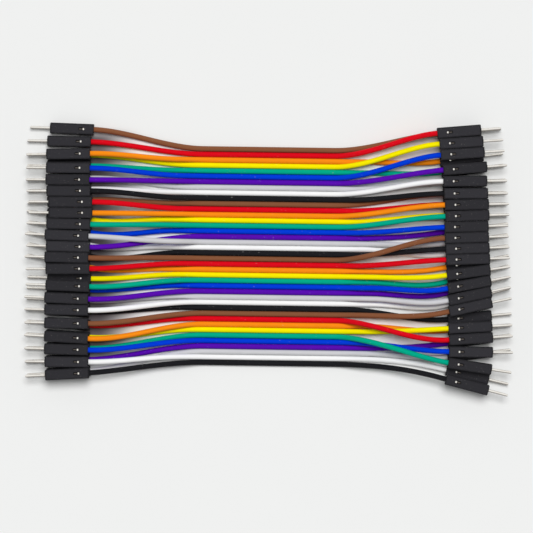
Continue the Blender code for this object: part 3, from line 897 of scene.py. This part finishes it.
class JUMPER_OT_wires(bpy.types.Operator):
    """Lays the forty insulated wires as tubes from socket to socket"""

    bl_idname = "jumper.wires"
    bl_label = "Wires"

    def execute(self, context):
        sizes = context.scene.jumper_ribbon
        wires, finishes = sizes.wires, sizes.finishes
        materials = {}
        for name in dict.fromkeys(row[0] for row in LEADS):
            gloss = WHITE_GLOSS if name == "white" else USUAL_GLOSS
            materials[name] = insulation(f"{name}_insulation", tuple(getattr(finishes, name)), gloss)
        plugs, shift = all_plugs(sizes)
        for place, (shade, *_ends) in enumerate(LEADS):
            line = wire_line(place, plugs, shift, wires)
            points, faces = tube(line, wires.diameter / 2, wires.sides)
            piece = add_piece(f"lead_{place + 1:02d}_{shade}", points, faces, materials[shade])
            layer = piece.data.uv_layers.new(name="along")
            uv = tube_uv(line, wires.sides, PATTERN_STEP * place)
            layer.data.foreach_set("uv", uv.astype(np.float32).ravel())
            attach(piece, BODY)
            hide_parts(f"wire_{place + 1:02d}_{shade}")
        return {"FINISHED"}


class JUMPER_OT_housings(bpy.types.Operator):
    """Puts a moulded housing on both ends of each wire"""

    bl_idname = "jumper.housings"
    bl_label = "Housings"

    def execute(self, context):
        sizes = context.scene.jumper_ribbon
        plugs, _shift = all_plugs(sizes)
        material = moulding("housing_moulding", tuple(sizes.finishes.housing))
        points, faces, edges = housing_surface(sizes.housings)
        tones = np.random.default_rng(TONE_SEED).uniform(*TONE_RANGE, (2, len(LEADS)))
        for side, groups in GROUPS.items():
            for number, places in enumerate(groups, 1):
                placed = [(plugs[side, place].placed(points), faces, edges) for place in places]
                all_points, all_faces, all_edges = gathered(placed)
                own = np.repeat([tones[int(side == RIGHT)][place] for place in places], len(points))
                marks = {"edge": all_edges, "tone": own}
                name = f"shells_{side}_{number:02d}"
                piece = add_piece(name, all_points, all_faces, material, marks, sharp=HOUSING_SHARP)
                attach(piece, BODY)
                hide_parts(f"housings_{side}_{number:02d}")
        return {"FINISHED"}


class JUMPER_OT_contacts(bpy.types.Operator):
    """Puts a rolled metal contact into each housing"""

    bl_idname = "jumper.contacts"
    bl_label = "Contacts"

    def execute(self, context):
        sizes = context.scene.jumper_ribbon
        plugs, _shift = all_plugs(sizes)
        material = nickel("contact_nickel", tuple(sizes.finishes.metal))
        housings, contacts = sizes.housings, sizes.contacts
        latch = latch_surface(housings, contacts)
        crimp, crimp_faces = crimp_surface(housings, contacts, sizes.wires.diameter / 2)
        for side, groups in GROUPS.items():
            pin = pin_surface(contacts, 1.0 if side == RIGHT else -1.0)
            shape = [pin, latch, (crimp, crimp_faces, np.zeros(len(crimp)))]
            points, faces, tarnish_and_shade_marks = gathered(shape)
            for number, places in enumerate(groups, 1):
                placed = [(plugs[side, place].placed(points), faces, tarnish_and_shade_marks) for place in places]
                all_points, all_faces, all_tarnish_and_shade = gathered(placed)
                name = f"contacts_{side}_{number:02d}"
                marks = {"edge": all_tarnish_and_shade}
                piece = add_piece(name, all_points, all_faces, material, marks, sharp=CONTACT_SHARP)
                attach(piece, BODY)
                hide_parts(f"housings_{side}_{number:02d}")
        return {"FINISHED"}


class JUMPER_PT_panel(bpy.types.Panel):
    """Lists the steps that build the ribbon"""

    bl_idname = "JUMPER_PT_panel"
    bl_label = "Jumper Leads"
    bl_space_type = "VIEW_3D"
    bl_region_type = "UI"
    bl_category = "Jumper Leads"

    def draw(self, context):
        for step in STEPS:
            self.layout.operator(step.bl_idname)


STEPS = (JUMPER_OT_stage, JUMPER_OT_wires, JUMPER_OT_housings, JUMPER_OT_contacts)
GROUP_TYPES = (
    JUMPER_PG_wires, JUMPER_PG_housings, JUMPER_PG_contacts, JUMPER_PG_finishes, JUMPER_PG_stage,
    JUMPER_PG_ribbon,
)


def register():
    for kind in (*GROUP_TYPES, *STEPS, JUMPER_PT_panel):
        bpy.utils.register_class(kind)
    bpy.types.Scene.jumper_ribbon = PointerProperty(type=JUMPER_PG_ribbon)


def unregister():
    del bpy.types.Scene.jumper_ribbon
    for kind in (JUMPER_PT_panel, *reversed(STEPS), *reversed(GROUP_TYPES)):
        bpy.utils.unregister_class(kind)


def main():
    register()
    bpy.ops.jumper.stage()
    bpy.ops.jumper.wires()
    bpy.ops.jumper.housings()
    bpy.ops.jumper.contacts()


if __name__ == "__main__":
    main()
